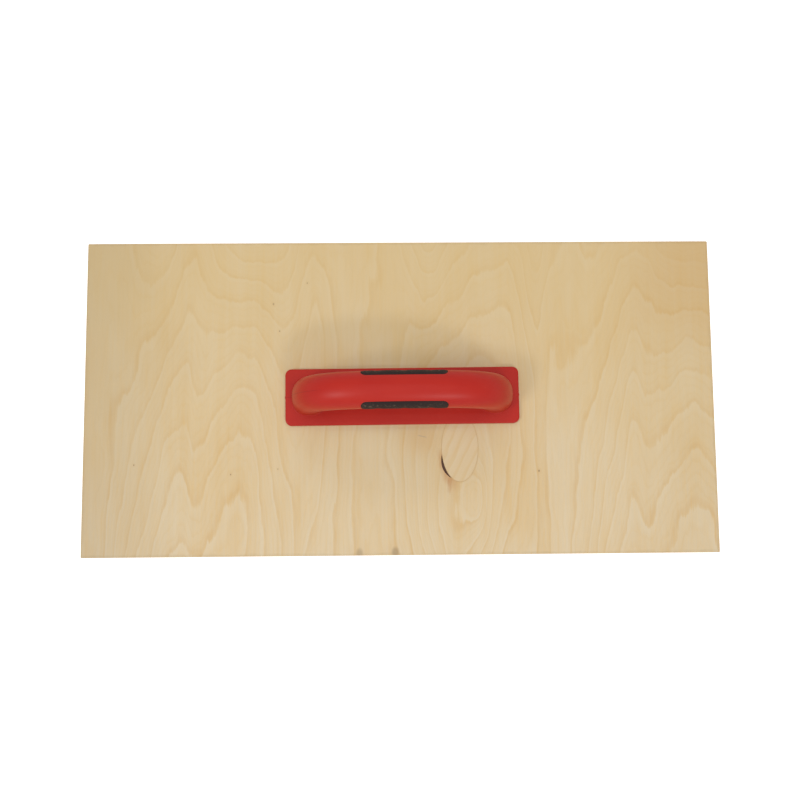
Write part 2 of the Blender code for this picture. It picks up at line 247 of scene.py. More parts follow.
def bar_point(t, angle, offset=0.0):
    """A point on the bar's skin. Negative t is the left half. Angle 0 faces +Y, a right angle out."""
    centre, normal = spine(abs(t))
    blend = min(abs(t), 1.0)
    blend = blend * blend * (3 - 2 * blend)
    width = BAR_HALF_WIDTH + offset
    depth = BAR_HALF_DEPTH + (FOOT_HALF_DEPTH - BAR_HALF_DEPTH) * blend + offset
    power = 2 / (2 + FOOT_SQUARENESS * blend)
    across = math.copysign(abs(math.cos(angle)) ** power, math.cos(angle))
    outward = math.copysign(abs(math.sin(angle)) ** power, math.sin(angle))
    point = centre + normal * (depth * outward)
    side = 1 if t >= 0 else -1
    return Vector((side * point.x, width * across, point.z))


def solve(function, target, low, high):
    """Where a falling function reaches target, by bisection."""
    for _ in range(BISECTIONS):
        middle = (low + high) / 2
        if function(middle) > target:
            low = middle
        else:
            high = middle
    return (low + high) / 2


def station_at(x):
    """The spine parameter whose centre lies at x."""
    t = solve(lambda value: -spine(value)[0].x, -abs(x), 0.0, 1.0)
    return math.copysign(t, x)


def fillet(height):
    """How far the foot swells at this height to run out into the plate."""
    above = max(height - PLATE_TOP, 0.0)
    if above >= FOOT_FILLET:
        return 0.0
    return FOOT_FILLET - math.sqrt(FOOT_FILLET**2 - (FOOT_FILLET - above) ** 2)


def parting_ridge(t, angle):
    """The fine moulding line down the outer side of each shoulder."""
    reach = abs(angle - math.pi / 2) * FOOT_HALF_DEPTH
    across = max(0.0, 1 - reach / PARTING_HALF_WIDTH)
    along = min(1.0, max(0.0, (t - 0.5) / 0.2))
    return PARTING_RISE * across * along


def half_bar_rings(sides=88, stations=56, fillet_steps=9):
    fine = PARTING_HALF_WIDTH / FOOT_HALF_DEPTH / 2
    angles = [math.tau * i / sides for i in range(sides)]
    quarter = sides // 4
    ridge = [math.pi / 2 + fine * k for k in (-3, -2, -1, 1, 2, 3)]
    angles = angles[:quarter] + ridge[:3] + [angles[quarter]] + ridge[3:] + angles[quarter + 1 :]
    heights = [
        PLATE_TOP + FOOT_FILLET * (1 - math.sin(math.pi / 2 * step / fillet_steps))
        for step in range(fillet_steps + 1)
    ]
    heights.append(FOOT_ROOT)

    def foot_station(angle, height):
        return solve(lambda t: bar_point(t, angle).z, height, *FOOT_SEARCH)

    ends = [foot_station(angle, heights[0]) for angle in angles]
    rings = []
    for station in range(stations):
        part = station / stations
        rings.append(
            [bar_point(end * part, a, parting_ridge(end * part, a)) for a, end in zip(angles, ends)]
        )
    for height in heights:
        swell = fillet(height)
        ring = []
        for a in angles:
            t = foot_station(a, height)
            skin = bar_point(t, a, parting_ridge(t, a) * (1 - swell / FOOT_FILLET))
            ring.append(skin + swell * Vector((math.sin(a), math.cos(a), 0)))
        rings.append(ring)
    return rings


def band_outline(expansion, straight_steps, corner_steps):
    """(x, edge angle) at each station of the grip's outline, grown outward by expansion."""
    half_length = GRIP_HALF_LENGTH + expansion
    corner = GRIP_CORNER + expansion
    reach = half_length - corner
    spots = [(reach * i / straight_steps, 0.0) for i in range(straight_steps)]
    for step in range(corner_steps + 1):
        turn = math.pi / 2 * step / corner_steps
        spots.append((reach + corner * math.sin(turn), corner * (1 - math.cos(turn))))
    spots = [(-x, drop) for x, drop in reversed(spots[1:])] + spots
    edge = GRIP_EDGE_ANGLE + expansion / BAR_HALF_DEPTH
    return [(x, edge - drop / BAR_HALF_DEPTH) for x, drop in spots]


def band_solid(levels, across, straight_steps, corner_steps, relief=None):
    """A slab bent round the bar's sides and underside. levels: (offset, expansion), outside first."""
    shape = bmesh.new()

    def grid(offset, expansion, bump=None):
        rows = []
        for x, edge in band_outline(expansion, straight_steps, corner_steps):
            t = station_at(x + GRIP_SHIFT)
            low = -math.pi - edge
            row = []
            for i in range(across + 1):
                angle = low + (edge - low) * i / across
                rise = bump(x, angle, edge) if bump else 0.0
                row.append(bar_point(t, angle, offset + rise))
            rows.append(row)
        return rows

    def rim(rows):
        right = [row[-1] for row in rows[1:-1]]
        left = [row[0] for row in rows[1:-1]]
        return rows[0] + right + rows[-1][::-1] + left[::-1]

    outer = [[shape.verts.new(p) for p in row] for row in grid(*levels[0], relief)]
    inner = [[shape.verts.new(p) for p in row] for row in grid(*levels[-1])]
    loops = [rim(outer)]
    for offset, expansion in levels[1:-1]:
        loops.append([shape.verts.new(p) for p in rim(grid(offset, expansion))])
    loops.append(rim(inner))
    for rows in (outer, inner):
        for a, b in zip(rows, rows[1:]):
            for i in range(across):
                shape.faces.new((a[i], a[i + 1], b[i + 1], b[i]))
    count = len(loops[0])
    for upper, lower in zip(loops, loops[1:]):
        for i in range(count):
            j = (i + 1) % count
            shape.faces.new((upper[i], upper[j], lower[j], lower[i]))
    return shape


# --- Board ---

CRESCENT_SHIFT = Vector((-1.75 * MM, -1.2 * MM))
CRESCENT_START = math.radians(191)
CRESCENT_END = math.radians(243)
CRESCENT_LEAN = 0.8
PATCH_GAP = 0.05 * MM
PATCH_EDGE = 0.08 * MM
PATCH_SINK = 0.02 * MM
TEAR = 0.16 * MM
BOARD_CORNER = 0.7 * MM
ARRIS = 0.35 * MM
PLY_STEP = 0.03 * MM
GLUE_INSET = 0.05 * MM
GLUE_CLEARANCE = 0.01 * MM


def patch_outline(grow, height, torn=False, sides=220):
    """The oval of the repair patch. Torn, it opens into the ragged crescent at the lower left."""
    ring = []
    for i in range(sides):
        angle = math.tau * i / sides
        x = PATCH_CENTRE.x + (PATCH_HALF.x + grow) * math.cos(angle)
        y = PATCH_CENTRE.y + (PATCH_HALF.y + grow) * math.sin(angle)
        along = (angle - CRESCENT_START) / (CRESCENT_END - CRESCENT_START)
        if torn and 0 < along < 1:
            open_by = math.sin(math.pi * along**CRESCENT_LEAN)
            ragged = TEAR * open_by * noise.noise(Vector((i * 0.9, height * 300, 0)))
            x += CRESCENT_SHIFT.x * open_by + ragged
            y += CRESCENT_SHIFT.y * open_by + ragged
        ring.append(Vector((x, y, height)))
    return ring


def fixing_holes():
    """One cutter for the four countersinks and clearance holes through the board."""
    hole = THREAD_RADIUS + HOLE_PLAY
    mouth = HEAD_RADIUS + HOLE_PLAY
    rim_top = SCREW_RECESS + HEAD_RIM
    profile = (
        (mouth, -OVERCUT),
        (mouth, rim_top),
        (hole, rim_top + mouth - hole),
        (hole, BOARD_TOP + OVERCUT),
    )
    shape = bmesh.new()
    for spot in screw_spots():
        loft([circle(radius, height, HOLE_SIDES, spot) for radius, height in profile], shape)
    return make_object("fixing_holes", shape)


def screw_spots():
    """The (x, y) of the left front, left back, right front and right back screws."""
    turn = Matrix.Rotation(HANDLE_TURN, 2)
    return [HANDLE_CENTRE + turn @ spot for spot in SPOTS_ON_PLATE]


def build_board(materials):
    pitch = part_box("ply_2")[0].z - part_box("ply_1")[0].z
    for number in range(1, PLY_COUNT + 1):
        low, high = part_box(f"ply_{number}")
        is_bottom, is_top = number == 1, number == PLY_COUNT
        inset = 0.0 if is_bottom or is_top else PLY_STEP * (1 + number % 3)
        slab = rounded_slab(
            BOARD_SIZE.x - 2 * inset,
            BOARD_SIZE.y - 2 * inset,
            BOARD_CORNER,
            low.z,
            high.z,
            ARRIS if is_bottom else 0.0,
            ARRIS if is_top else 0.0,
        )
        name = {1: "bottom_veneer", PLY_COUNT: "top_veneer"}.get(number, f"core_veneer_{number}")
        ply = make_object(name, slab, materials[name])
        tools = [("DIFFERENCE", fixing_holes())]
        if is_top:
            depths = (low.z - OVERCUT, high.z + OVERCUT)
            hole = loft([patch_outline(PATCH_GAP, height, torn=True) for height in depths])
            tools.append(("DIFFERENCE", make_object("patch_hole", hole)))
        combine(ply, tools)
        settle(ply, "face_veneer" if is_bottom or is_top else "core_veneer", f"ply_{number}")
        if not is_top:
            film = rounded_slab(
                BOARD_SIZE.x - 2 * GLUE_INSET,
                BOARD_SIZE.y - 2 * GLUE_INSET,
                BOARD_CORNER,
                high.z + GLUE_CLEARANCE,
                low.z + pitch - GLUE_CLEARANCE,
            )
            film = make_object(f"glue_line_{number}", film, materials["glue"])
            combine(film, [("DIFFERENCE", fixing_holes())])
            settle(film, "core_veneer")
    patch = loft(
        [
            patch_outline(0.0, patch_low.z),
            patch_outline(0.0, patch_high.z - PATCH_EDGE),
            patch_outline(-0.3 * PATCH_EDGE, patch_high.z - 0.3 * PATCH_EDGE),
            patch_outline(-PATCH_EDGE, patch_high.z - PATCH_SINK),
        ]
    )
    patch = make_object("oval_patch", patch, materials["oval_patch"])
    settle(patch, "face_veneer", "veneer_patch")


# --- Handle, soft grip and screws ---

CORE_HALF_X = 11.3 * MM
CORE_HALF_Y = 11.6 * MM
CORE_TOP = PLATE_BOTTOM + 23 * MM
CORE_TOP_X = 71.6 * MM
CORE_TOP_HALF_X = 7 * MM
CORE_TOP_HALF_Y = 9.5 * MM
BOSS_RADIUS = 4 * MM
WEB_THICKNESS = 2.2 * MM
WEB_LENGTH = 26 * MM
GATE_RADIUS = 1.3 * MM
GATE_REACH = 0.35 * MM
GATE_LOW = PLATE_BOTTOM + 0.6 * MM
GATE_HIGH = PLATE_TOP - 1.1 * MM
GATE_BEVEL = 0.2 * MM
GATE_END = 0.8


def bar_shape():
    right = half_bar_rings()
    left = [[Vector((-p.x, p.y, p.z)) for p in ring] for ring in reversed(right[1:])]
    return loft(left + right)


def recess_shape():
    levels = (
        (OVERCUT, OVERCUT + GRIP_LIP),
        (0.0, GRIP_LIP),
        (-GRIP_LIP, 0.0),
        (-GRIP_DEPTH, 0.0),
    )
    return band_solid(levels, across=100, straight_steps=30, corner_steps=10)


def foot_core(side):
    """The hollow moulded up into one foot, less its two bosses and the web between them."""
    rings = []
    for x, half_x, half_y, height in (
        (FOOT_X, CORE_HALF_X, CORE_HALF_Y, PLATE_BOTTOM - OVERCUT),
        (CORE_TOP_X, CORE_TOP_HALF_X, CORE_TOP_HALF_Y, CORE_TOP),
    ):
        ring = circle(1.0, height, 48)
        rings.append([Vector((side * x + p.x * half_x, p.y * half_y, p.z)) for p in ring])
    core = make_object("foot_core", loft(rings))
    low, high = PLATE_BOTTOM - 2 * OVERCUT, BAR_HEIGHT
    web = rounded_slab(WEB_THICKNESS, WEB_LENGTH, WEB_THICKNESS / 4, low, high)
    bmesh.ops.translate(web, vec=(side * SCREW_X, 0, 0), verts=web.verts)
    tools = [("DIFFERENCE", make_object("web", web))]
    for side_y in (-1, 1):
        spot = (side * SCREW_X, side_y * SCREW_Y)
        boss = loft([circle(BOSS_RADIUS, z, HOLE_SIDES, spot) for z in (low, high)])
        tools.append(("DIFFERENCE", make_object("boss", boss)))
    combine(core, tools)
    return core


def pilot_holes():
    hole = THREAD_RADIUS + PILOT_PLAY
    top = SCREW_RECESS + SCREW_LENGTH + PILOT_DEPTH_TO_SPARE
    shape = bmesh.new()
    for spot in SPOTS_ON_PLATE:
        loft([circle(hole, z, HOLE_SIDES, spot) for z in (PLATE_BOTTOM - OVERCUT, top)], shape)
    return make_object("pilot_holes", shape)


def gate_nub(side):
    """The trimmed flash of the moulding, mid way along one end of the plate."""
    x = side * PLATE_LENGTH / 2
    levels = (
        (GATE_LOW, GATE_END),
        (GATE_LOW + GATE_BEVEL, 1.0),
        (GATE_HIGH - GATE_BEVEL, 1.0),
        (GATE_HIGH, GATE_END),
    )
    rings = []
    for z, grow in levels:
        ring = circle(1.0, z, 24)
        rings.append(
            [Vector((x + p.x * GATE_REACH * grow, p.y * GATE_RADIUS * grow, p.z)) for p in ring]
        )
    return make_object("gate_nub", loft(rings))


def build_handle(material):
    plate = rounded_slab(
        PLATE_LENGTH, PLATE_WIDTH, PLATE_CORNER, PLATE_BOTTOM, PLATE_TOP, 0.0, PLATE_EDGE_ROUND, 6
    )
    handle = make_object("moulded_handle", plate, material)
    combine(
        handle,
        [
            ("UNION", make_object("bar", bar_shape())),
            ("UNION", gate_nub(-1)),
            ("UNION", gate_nub(1)),
            ("DIFFERENCE", make_object("recess", recess_shape())),
            ("DIFFERENCE", foot_core(-1)),
            ("DIFFERENCE", foot_core(1)),
            ("DIFFERENCE", pilot_holes()),
        ],
    )
    place_on_handle(handle)
    settle(handle, "moulded_red", "handle_body")


def place_on_handle(obj):
    turn = Matrix.Rotation(HANDLE_TURN, 4, "Z")
    obj.data.transform(Matrix.Translation(HANDLE_CENTRE.to_3d()) @ turn)


DOT_PITCH = 2.3 * MM
DOT_RADIUS = 0.72 * MM
DOT_RISE = 0.2 * MM
GROOVE_DEPTH = 0.2 * MM
GROOVE_HALF_WIDTH = 2.4 * MM
GRIP_CROWN = 0.12 * MM
PLAIN_EDGE = 0.8 * MM
RELIEF_FADE = 1.6 * MM
GRIP_ROUND = 0.3 * MM


def grip_relief(x, angle, edge):
    """Finger grooves across the grip and rows of small raised dots between them."""
    arc = (angle + math.pi / 2) * (BAR_HALF_WIDTH + BAR_HALF_DEPTH) / 2
    to_side = (edge + math.pi / 2 - abs(angle + math.pi / 2)) * BAR_HALF_DEPTH
    to_end = GRIP_HALF_LENGTH - abs(x)
    inside = min(1.0, max(0.0, (min(to_side, to_end) - PLAIN_EDGE) / RELIEF_FADE))
    inside = inside * inside * (3 - 2 * inside)
    groove = sum(math.exp(-(((x - g) / GROOVE_HALF_WIDTH) ** 2)) for g in GRIP_GROOVES)
    row_height = DOT_PITCH * math.sqrt(3) / 2
    row = round(arc / row_height)
    shift = (row % 2) * DOT_PITCH / 2
    along = x - shift - round((x - shift) / DOT_PITCH) * DOT_PITCH
    across = arc - row * row_height
    reach = (along * along + across * across) / DOT_RADIUS**2
    dot = max(0.0, 1 - reach) ** 0.7 if reach < 1 else 0.0
    return (DOT_RISE * dot * (1 - groove) - GROOVE_DEPTH * groove + GRIP_CROWN) * inside


def build_grip(material):
    levels = (
        (0.0, -GRIP_JOINT - GRIP_ROUND),
        (-0.05 * MM, -GRIP_JOINT - 0.15 * MM),
        (-0.14 * MM, -GRIP_JOINT - 0.05 * MM),
        (-GRIP_ROUND, -GRIP_JOINT),
        (GRIP_JOINT - GRIP_DEPTH, -GRIP_JOINT),
    )
    shape = band_solid(levels, across=176, straight_steps=78, corner_steps=12, relief=grip_relief)
    grip = make_object("soft_insert", shape, material)
    place_on_handle(grip)
    settle(grip, "soft_black", "soft_grip")


# Driver recess: depth, reach of each arm and half its width
DRIVE_LEVELS = (
    (-OVERCUT, 2.3 * MM, 0.52 * MM),
    (0.0, 2.15 * MM, 0.48 * MM),
    (1.2 * MM, 1.6 * MM, 0.4 * MM),
    (1.9 * MM, 0.7 * MM, 0.3 * MM),
)
FIRST_DRIVE_TURN = 17
DRIVE_TURN_STEP = 31


def screw_shape(sides=28, rows_per_turn=10):
    """Countersunk head down at the origin, plain shank, then a helical thread up to the point."""
    rings = [
        circle(HEAD_RADIUS - HEAD_RIM / 2, 0.0, sides),
        circle(HEAD_RADIUS - HEAD_RIM / 6, HEAD_RIM / 6, sides),
        circle(HEAD_RADIUS, HEAD_RIM / 2, sides),
        circle(HEAD_RADIUS, HEAD_RIM, sides),
        circle(SHANK_RADIUS, HEAD_RIM + HEAD_RADIUS - SHANK_RADIUS, sides),
        circle(SHANK_RADIUS, SCREW_LENGTH - THREAD_LENGTH - THREAD_PITCH / 3, sides),
    ]
    rows = round(rows_per_turn * THREAD_LENGTH / THREAD_PITCH)
    for row in range(rows + 1):
        height = SCREW_LENGTH - THREAD_LENGTH * (1 - row / rows)
        taper = min(1.0, 0.1 + 0.9 * (SCREW_LENGTH - height) / POINT_LENGTH)
        fade = min(1.0, row / rows_per_turn, (rows - row) / rows_per_turn)
        ring = []
        for i in range(sides):
            turn = i / sides
            phase = (row / rows_per_turn - turn) % 1.0
            crest = max(0.0, 1 - 4 * min(phase, 1 - phase))
            radius = CORE_RADIUS * taper + (THREAD_RADIUS - CORE_RADIUS) * crest * fade
            angle = math.tau * turn
            ring.append(Vector((radius * math.cos(angle), radius * math.sin(angle), height)))
        rings.append(ring)
    return loft(rings)


def cross_recess():
    """Driver recess: four tapered arms round a conical pit."""
    rings = []
    for height, reach, half in DRIVE_LEVELS:
        ring = []
        for quarter in range(4):
            turn = Matrix.Rotation(math.pi / 2 * quarter, 3, "Z")
            for x, y in ((reach, -half), (reach, half), (half * 1.5, half)):
                ring.append(turn @ Vector((x, y, height)))
        rings.append(ring)
    return make_object("cross_recess", loft(rings))


def build_screws(material):
    names = ("left_front", "left_back", "right_front", "right_back")
    for index, (name, (x, y)) in enumerate(zip(names, screw_spots())):
        screw = make_object(f"{name}_countersunk_screw", screw_shape(), material)
        combine(screw, [("DIFFERENCE", cross_recess())])
        degrees = FIRST_DRIVE_TURN + DRIVE_TURN_STEP * index
        driven = Matrix.Rotation(math.radians(degrees), 4, "Z")
        screw.data.transform(Matrix.Translation((x, y, SCREW_RECESS)) @ driven)
        settle(screw, "zinc_steel", f"{name}_screw")


# --- Material building ---


class Wire:
    """A node socket that carries a number. Arithmetic on it adds Math nodes."""

    def __init__(self, graph, socket):
        self.graph = graph
        self.socket = socket

    def math(self, operation, *others):
        return self.graph.math(operation, self, *others)

    def __add__(self, other):
        return self.math("ADD", other)

    def __radd__(self, other):
        return self.math("ADD", other)

    def __sub__(self, other):
        return self.math("SUBTRACT", other)

    def __rsub__(self, other):
        return self.graph.math("SUBTRACT", other, self)

    def __mul__(self, other):
        return self.math("MULTIPLY", other)

    def __rmul__(self, other):
        return self.math("MULTIPLY", other)

    def __truediv__(self, other):
        return self.math("DIVIDE", other)

    def __abs__(self):
        return self.math("ABSOLUTE")

    def step(self, low, high):
        """0 below low and 1 above high, with a smooth rise between. low may be the greater."""
        graph = self.graph
        settings = {"interpolation_type": "SMOOTHSTEP"}
        if low < high:
            inputs = {0: self, 1: low, 2: high, 3: 0.0, 4: 1.0}
        else:
            inputs = {0: self, 1: high, 2: low, 3: 1.0, 4: 0.0}
        return Wire(graph, graph.node("ShaderNodeMapRange", inputs, **settings).outputs[0])


class Graph:
    """A material whose nodes are written as short expressions. Lengths are in millimetres."""

    def __init__(self, name):
        self.material = bpy.data.materials.new(name)
        self.material.use_nodes = True
        self.tree = self.material.node_tree
        self.shader = self.tree.nodes["Principled BSDF"]
        self.bump_chain = None

    def node(self, kind, inputs=None, **settings):
        made = self.tree.nodes.new(kind)
        for key, value in settings.items():
            setattr(made, key, value)
        for key, value in (inputs or {}).items():
            self.plug(made.inputs[key], value)
        return made

    def plug(self, socket, value):
        if isinstance(value, Wire):
            self.tree.links.new(value.socket, socket)
        else:
            socket.default_value = value

    def math(self, operation, *values):
        made = self.node("ShaderNodeMath", dict(enumerate(values)), operation=operation)
        return Wire(self, made.outputs[0])

    def place(self):
        """The point's x, y and z in millimetres, in the frame."""
        coordinates = self.node("ShaderNodeTexCoord")
        split = self.node("ShaderNodeSeparateXYZ")
        self.tree.links.new(coordinates.outputs["Object"], split.inputs[0])
        return [Wire(self, socket) * 1000.0 for socket in split.outputs]

    def facing(self):
        """How far the surface faces along X, Y and Z, from 0 to 1."""
        geometry = self.node("ShaderNodeNewGeometry")
        split = self.node("ShaderNodeSeparateXYZ")
        self.tree.links.new(geometry.outputs["True Normal"], split.inputs[0])
        return [abs(Wire(self, socket)) for socket in split.outputs]

    def vector(self, x, y, z=0.0):
        made = self.node("ShaderNodeCombineXYZ", {0: x, 1: y, 2: z})
        return Wire(self, made.outputs[0])

    def noise(self, x, y, z=0.0, detail=2.0, rough=0.5):
        """Smooth noise from about -1 to 1, one feature to each unit of x, y and z."""
        inputs = {"Vector": self.vector(x, y, z), "Scale": 1.0, "Detail": detail, "Roughness": rough}
        made = self.node("ShaderNodeTexNoise", inputs)
        return (Wire(self, made.outputs["Fac"]) - 0.5) * 2.6

    def speckle(self, x, y, z=0.0):
        """Distance to the nearest of scattered points, one to each unit cell."""
        inputs = {"Vector": self.vector(x, y, z), "Scale": 1.0}
        made = self.node("ShaderNodeTexVoronoi", inputs)
        return Wire(self, made.outputs["Distance"])

    def row(self, along, points):
        """The ring number of a row. along is 0 at its left end and 1 at its right end."""
        made = self.node("ShaderNodeFloatCurve", {"Value": along})
        curve = made.mapping.curves[0]
        spots = [(x / (2 * ROW_REACH) + 0.5, v / (2 * ROW_RINGS) + 0.5) for x, v in points]
        for point, spot in zip(curve.points, (spots[0], spots[-1])):
            point.location = spot
        for spot in spots[1:-1]:
            curve.points.new(*spot)
        made.mapping.update()
        return (Wire(self, made.outputs[0]) - 0.5) * (2 * ROW_RINGS)

    def hill(self, x, y, centre_x, centre_y, reach_x, reach_y):
        """1 at the centre, falling to 0 round it as a bell."""
        across, along = (x - centre_x) / reach_x, (y - centre_y) / reach_y
        return ((across * across + along * along) * -1.0).math("EXPONENT")

    def length(self, x, y):
        return (x * x + y * y).math("SQRT")

    def random(self, number):
        made = self.node("ShaderNodeTexWhiteNoise", {"W": number}, noise_dimensions="1D")
        return Wire(self, made.outputs["Value"])

    def mix(self, amount, first, second):
        made = self.node("ShaderNodeMix", {0: amount}, data_type="RGBA")
        for socket, colour in ((made.inputs[6], first), (made.inputs[7], second)):
            if isinstance(colour, Wire):
                self.tree.links.new(colour.socket, socket)
            else:
                socket.default_value = (*colour, 1.0)
        return Wire(self, made.outputs[2])

    def shade(self, colour, factor):
        """The colour made lighter or darker by a factor."""
        made = self.node("ShaderNodeVectorMath", {0: colour}, operation="SCALE")
        self.plug(made.inputs["Scale"], factor)
        return Wire(self, made.outputs[0])

    def bump(self, height, depth_mm, strength=1.0):
        made = self.node(
            "ShaderNodeBump", {"Strength": strength, "Distance": depth_mm * MM, "Height": height}
        )
        if self.bump_chain:
            self.tree.links.new(self.bump_chain, made.inputs["Normal"])
        self.bump_chain = made.outputs[0]

    def finish(self, colour, roughness, **constants):
        self.plug(self.shader.inputs["Base Color"], colour)
        self.plug(self.shader.inputs["Roughness"], roughness)
        for key, value in constants.items():
            self.shader.inputs[key.replace("_", " ")].default_value = value
        if self.bump_chain:
            self.tree.links.new(self.bump_chain, self.shader.inputs["Normal"])
        return self.material


# --- Birch ---

PALE = (0.598, 0.484, 0.320)
AMBER = (0.556, 0.372, 0.158)
LATEWOOD = (0.480, 0.272, 0.092)
# The next colour is painted shade: the darker, yellower tone that the top face is mixed towards at
# the back.
PAINTED_BACK_SHADE = (0.560, 0.405, 0.182)
RUBBED = (0.74, 0.64, 0.49)
STAIN = (0.400, 0.160, 0.035)
GRIME = (0.30, 0.20, 0.10)
GRAPHITE = (0.25, 0.23, 0.20)
SOOT = (0.05, 0.024, 0.012)
END_GRAIN = (0.47, 0.30, 0.145)
END_PORE = (0.16, 0.08, 0.035)
LONG_GRAIN_PALE = (0.64, 0.47, 0.275)
LONG_GRAIN_DARK = (0.47, 0.30, 0.14)
GLUE_DARK = (0.055, 0.022, 0.012)
GLUE_BROWN = (0.12, 0.05, 0.022)
GLUE_SMEAR = (0.10, 0.048, 0.02)
FACE_GLOSS = 0.32
CORE_GLOSS = 0.25

# Growth-ring figure of the sheet: the ring number that the cut reaches at each x, in millimetres,
# along three rows that lie in front of the handle, through it and behind it. A dark line runs
# wherever the number is whole.
FRONT_ROW = (
    (-250, -0.7), (-235, -0.5), (-227, 0.0), (-219, 1.0), (-210, 2.0), (-200, 3.0), (-188, 4.0),
    (-179, 4.65), (-170, 4.95), (-159, 4.6), (-148, 4.9), (-138, 5.3), (-128, 5.3), (-118, 4.9),
    (-106, 4.1), (-98, 3.5), (-89, 2.7), (-81, 2.0), (-72, 1.2), (-61, 0.5), (-50, 0.0),
    (-37, -0.8), (-25, -1.4), (-12, -1.5), (-2, -1.2), (8, -0.6), (18, 0.0), (33, 0.5), (48, 0.7),
    (63, 0.5), (78, 0.0), (93, -0.6), (103, -0.8), (109, -1.0), (113, -1.35), (117, -1.35),
    (121, -1.0), (128, -0.7), (138, 0.0), (151, 1.0), (159, 2.0), (166, 3.0), (171, 3.4),
    (178, 4.0), (186, 4.4), (198, 4.25), (210, 4.6), (223, 5.0), (237, 5.2), (250, 4.9),
)
MIDDLE_ROW = (
    (-250, -0.7), (-238, -0.5), (-219, 0.0), (-208, 0.5), (-198, 1.0), (-191, 1.5), (-185, 2.0),
    (-178, 2.3), (-170, 2.5), (-160, 2.05), (-150, 2.45), (-140, 2.85), (-130, 3.2), (-119, 3.2),
    (-112, 2.8), (-106, 2.3), (-100, 1.8), (-94, 1.3), (-86, 1.1), (-76, 1.5), (-69, 1.8),
    (-60, 0.9), (-50, 0.1), (-40, -0.6), (-28, -1.2), (-15, -1.3), (-5, -1.0), (8, -0.2),
    (23, 0.3), (43, 0.4), (60, 0.9), (83, 0.9), (92, 0.2), (100, -0.5), (106, -0.95), (110, -1.3),
    (114, -1.3), (118, -0.95), (126, -0.85), (136, -0.7), (146, -0.45), (152, -0.25), (157, 0.0),
    (163, 0.5), (169, 1.0), (175, 1.6), (180, 2.1), (186, 2.45), (198, 1.9), (208, 2.1),
    (220, 2.4), (234, 2.65), (243, 2.5), (250, 2.3),
)
BACK_ROW = (
    (-250, -0.6), (-233, -0.6), (-217, -0.9), (-205, -1.35), (-195, -1.35), (-188, -1.1),
    (-180, -0.5), (-175, -0.1), (-170, 0.05), (-164, -0.15), (-155, -0.75), (-143, -1.4),
    (-130, -1.85), (-118, -2.0), (-105, -2.0), (-95, -1.7), (-89, -1.2), (-84, -0.5), (-79, 0.0),
    (-73, 0.15), (-64, -0.3), (-53, -0.5), (-38, -0.7), (-23, -1.1), (-8, -1.6), (2, -2.2),
    (11, -3.0), (20, -3.6), (30, -2.9), (39, -2.2), (49, -1.7), (59, -1.4), (70, -1.25),
    (80, -1.2), (87, -1.45), (95, -2.0), (101, -2.8), (106, -3.3), (111, -2.9), (115, -2.3),
    (121, -1.95), (135, -1.7), (147, -2.0), (158, -1.9), (170, -1.4), (180, -0.95), (188, -0.75),
    (196, -1.0), (207, -1.7), (220, -2.1), (237, -2.2), (250, -2.2),
)

# The rows' spacing and half length in millimetres, the figure's lean and the most rings
ROW_SPACING = 110.0
FIGURE_LEAN = 0.03
ROW_REACH = 250.0
ROW_RINGS = 6.0

# Hills in the figure round the patched knot: x, y, half width, half length, rings
PATCH_KNOTS = (
    (45, -88, 27, 88, 3.2),
    (61, -82, 8, 25, 1.4),
)

# Pin knots and marks on the top face: x, y, radius, darkness
PIN_KNOTS = (
    (-96, 53, 0.6, 0.5),
    (-74, 92, 0.65, 0.35),
    (-101, 75, 0.9, 0.35),
    (-210, -53, 0.6, 0.55),
    (-134, -61, 0.6, 0.55),
    (-97, -57, 0.55, 0.4),
    (109, -60, 0.9, 0.5),
    (-5, -122.5, 3.8, 0.34),
    (-33, -123, 3.6, 0.26),
)

# Where painted shade darkens the top face, in millimetres: the start and the end of each change
BACK_SHADE_SPAN = (-150, 150)
LEFT_END_SHADE = (-140, -255)
RIGHT_END_SHADE = (150, 240)
BACK_CORNER_SHADE = (0, 105)

# Marks on the top face, in millimetres, and the lean of the patch's grain
WARM_SPOT = (16, -34)
WARM_REACH = (17, 13)
SCUFF_PLACE = (17, -32)
PATCH_LEAN = math.radians(31)


def ring_field(g, x, y, seed, knots=()):
    """Growth-ring number over a rotary-cut sheet whose grain runs along y."""
    drift = g.noise(x / 60, y / 90, seed, 1.0) * 2.5
    along = (x + drift - y * FIGURE_LEAN) / (2 * ROW_REACH) + 0.5
    front = g.row(along, FRONT_ROW)
    middle = g.row(along, MIDDLE_ROW)
    back = g.row(along, BACK_ROW)
    level = y / ROW_SPACING
    slope = (back - front) * 0.5
    curve = (back + front) * 0.5 - middle
    field = middle + (slope + curve * level) * level
    field = field + g.noise(x / 28, y / 70, seed + 3.1, 1.0) * 0.2
    field = field + g.noise(x / 9, y / 30, seed + 7.7, 1.0) * 0.17
    field = field + g.noise(x / 1.4, y / 15, seed + 9.3, 2.0) * 0.06
    for knot_x, knot_y, reach_x, reach_y, strength in knots:
        field = field + g.hill(x, y, knot_x, knot_y, reach_x, reach_y) * strength
    return field


